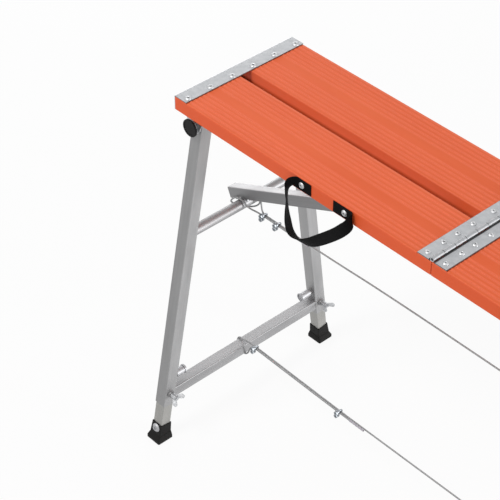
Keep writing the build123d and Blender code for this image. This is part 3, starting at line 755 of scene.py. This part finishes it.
def rivet(place, axis, size):
    """Head of a blind rivet, and the stub of its mandrel in the middle."""
    stem = [(1.15, 0.2), (1.4, 1.3), (1.1, 1.45), (0.0, 1.45)]
    return [
        turned([(r * size * MM, h * size * MM) for r, h in profile], sides, place, axis)
        for profile, sides in ((rivet_profile[::-1], 20), (stem, 12))
    ]


plate_rivets = {"x": 0.6305, "z": plate_top, "offsets": (-55.5, 0.0, 55.5), "size": 1.35}
leaf_rivets = {"x": 0.020, "z": leaf_top, "offsets": (-56.0, -17.0, 17.0, 56.0), "size": 1.1}
strap_rivets = {"x": (0.310, 0.203), "y": -0.1518, "z": (deck_top + deck_bottom) / 2, "size": 1.3}
for side, hand in hands.items():
    heads = []
    for group in (plate_rivets, leaf_rivets):
        for offset in group["offsets"]:
            for way in places.values():
                y = way * plank_middle + offset * MM
                heads.append(rivet((hand * group["x"], y, group["z"]), (0, 0, 1), group["size"]))
    for x in strap_rivets["x"]:
        spot = (hand * x, strap_rivets["y"], strap_rivets["z"])
        heads.append(rivet(spot, (0, -1, 0), strap_rivets["size"]))
    domes = joined([head for head, stub in heads])
    verts, faces = joined([domes] + [stub for head, stub in heads])
    piece = make_object(
        f"{side}_rivet_heads",
        verts,
        faces,
        rivet_zinc,
        rivet_stem_shaded,
        sharp=35,
        second_from=len(domes[1]),
    )
    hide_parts(f"{side}_deck_rivets")
    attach(piece, f"{side}_deck")


# Carry straps

# Points of the middle line and the direction across the band, given for the left strap
strap_keys = [
    ((-287, -150.9, 806), (0, 0, 1)),
    ((-310, -150.9, 806), (0, 0, 1)),
    ((-323, -151.2, 806), (0, 0, 1)),
    ((-332, -157, 803), (-0.2, -0.5, 0.8)),
    ((-334, -163, 790), (0.4, -0.8, 0.3)),
    ((-333, -165, 773), (0.6, -0.7, 0.2)),
    ((-331, -167, 750), (0.5, -0.8, 0.2)),
    ((-325, -169, 726), (0.3, -0.9, 0.2)),
    ((-314, -171, 708), (0.2, -0.9, 0.4)),
    ((-292, -172, 703), (-0.2, -0.7, 0.7)),
    ((-266, -173, 715), (-0.5, -0.4, 0.7)),
    ((-239, -173, 737), (-0.6, -0.2, 0.7)),
    ((-203, -172, 771), (-0.7, -0.2, 0.7)),
    ((-185, -168, 792), (-0.6, -0.3, 0.7)),
    ((-181, -161, 803), (-0.2, -0.5, 0.8)),
    ((-184, -153, 806), (0, 0, 1)),
    ((-196, -150.9, 806), (0, 0, 1)),
    ((-231, -150.9, 806), (0, 0, 1)),
]
# The right strap hangs a little wider and lower on its hinge side
hinge_side = range(11, 15)
hang_wider = 8
hang_lower = 8
right_strap_keys = list(strap_keys)
for i in hinge_side:
    (x, y, z), across = strap_keys[i]
    right_strap_keys[i] = ((x + hang_wider, y, z - hang_lower), across)


def between(keys, i, t):
    """Smooth point between keys i and i + 1."""
    p = [Vector(keys[min(max(i + k, 0), len(keys) - 1)]) for k in (-1, 0, 1, 2)]
    a = 2 * p[1]
    b = p[2] - p[0]
    c = 2 * p[0] - 5 * p[1] + 4 * p[2] - p[3]
    d = -p[0] + 3 * p[1] - 3 * p[2] + p[3]
    return (a + b * t + c * t * t + d * t * t * t) * 0.5


def carry_strap(side, hand, keys):
    """Band of webbing along the keys, mirrored for the right side."""
    half = 12.0 * MM
    thick = 0.85 * MM
    steps = 6
    section = [(-1.0, -0.45), (-0.93, -1.0), (-0.5, -1.0), (0.0, -1.0), (0.5, -1.0), (0.93, -1.0)]
    section += [(-a, -b) for a, b in section]
    line, widths = [], []
    for i in range(len(keys) - 1):
        for step in range(steps):
            line.append(between([k[0] for k in keys], i, step / steps) * MM)
            widths.append(between([k[1] for k in keys], i, step / steps))
    line.append(Vector(keys[-1][0]) * MM)
    widths.append(Vector(keys[-1][1]))
    verts, runs = [], []
    run = 0.0
    for i, here in enumerate(line):
        ahead = (line[min(i + 1, len(line) - 1)] - line[max(i - 1, 0)]).normalized()
        width = (widths[i] - ahead * widths[i].dot(ahead)).normalized()
        out = ahead.cross(width)
        if i:
            run += (here - line[i - 1]).length
        runs.append(run)
        for across, deep in section:
            point = here + width * (half * across) + out * (thick * deep)
            verts.append(Vector((-hand * point.x, point.y, point.z)))
    faces = rings_to_faces(len(line), len(section))
    if hand > 0:
        faces = [tuple(reversed(face)) for face in faces]
    piece = make_object(f"{side}_webbing_strap", verts, faces, band, sharp=50)
    layer = piece.data.uv_layers.new(name="band")
    for loop in piece.data.loops:
        row, k = divmod(loop.vertex_index, len(section))
        layer.data[loop.index].uv = (runs[row], section[k][0] * half)
    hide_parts(f"{side}_carry_strap")
    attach(piece, f"{side}_deck")
    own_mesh(piece)


carry_strap("left", -1, strap_keys)
carry_strap("right", 1, right_strap_keys)


# Floor, background and light


def seen_directly(tree):
    """One for what the camera sees, straight, in a mirror or through glass."""
    path = add(tree, "ShaderNodeLightPath")
    first = calc(tree, "MAXIMUM", path.outputs["Is Camera Ray"], path.outputs["Is Glossy Ray"])
    return calc(tree, "MAXIMUM", first, path.outputs["Is Transmission Ray"])


def end_with_mix(tree, factor, lit, shown, output):
    """Mix of two shaders by a factor, on the tree's output."""
    blend = add(tree, "ShaderNodeMixShader")
    result = add(tree, output)
    for slot, socket in enumerate((factor, lit.outputs[0], shown.outputs[0])):
        tree.links.new(socket, blend.inputs[slot])
    tree.links.new(blend.outputs[0], result.inputs["Surface"])


floor_mesh = bpy.data.meshes.new("floor")
reach = 12
corners = [(-reach, -reach, 0), (reach, -reach, 0), (reach, reach, 0), (-reach, reach, 0)]
floor_mesh.from_pydata(corners, [], [(0, 1, 2, 3)])
floor = bpy.data.objects.new("floor", floor_mesh)
scene.collection.objects.link(floor)
floor_material = bpy.data.materials.new("pale_floor")
floor_material.use_nodes = True
tree = floor_material.node_tree
tree.nodes.clear()
matt = add(tree, "ShaderNodeBsdfDiffuse", {"Color": (0.82, 0.82, 0.82, 1.0)})
glow = add(tree, "ShaderNodeEmission", {"Color": (1.0, 1.0, 1.0, 1.0), "Strength": 1.0})
shown_glow = calc(tree, "MULTIPLY", seen_directly(tree), 0.91)
end_with_mix(tree, shown_glow, matt, glow, "ShaderNodeOutputMaterial")
floor_mesh.materials.append(floor_material)

world = bpy.data.worlds.new("studio")
world.use_nodes = True
scene.world = world
tree = world.node_tree
tree.nodes.clear()
soft = add(tree, "ShaderNodeBackground", {"Color": (0.97, 0.985, 1.0, 1.0), "Strength": 0.52})
white = add(tree, "ShaderNodeBackground", {"Color": (1.0, 1.0, 1.0, 1.0), "Strength": 1.0})
end_with_mix(tree, seen_directly(tree), soft, white, "ShaderNodeOutputWorld")


def area_light(name, place, aim, size, power, colour=(1.0, 1.0, 1.0)):
    data = bpy.data.lights.new(name, "AREA")
    data.shape = "DISK"
    data.size = size
    data.energy = power
    data.color = colour
    lamp = bpy.data.objects.new(name, data)
    lamp.location = place
    lamp.rotation_euler = (Vector(aim) - Vector(place)).to_track_quat("-Z", "Y").to_euler()
    scene.collection.objects.link(lamp)


area_light("key", (-1.0, -2.4, 3.85), (0.0, 0.0, 0.6), 1.2, 82.0, (1.0, 0.985, 0.965))
area_light("side", (8.0, 3.75, 1.0), (-0.3, 0.0, 0.5), 2.75, 600.0)
area_light("back", (-3.0, 1.9, 0.9), (-0.5, 0.0, 0.6), 1.6, 22.0)
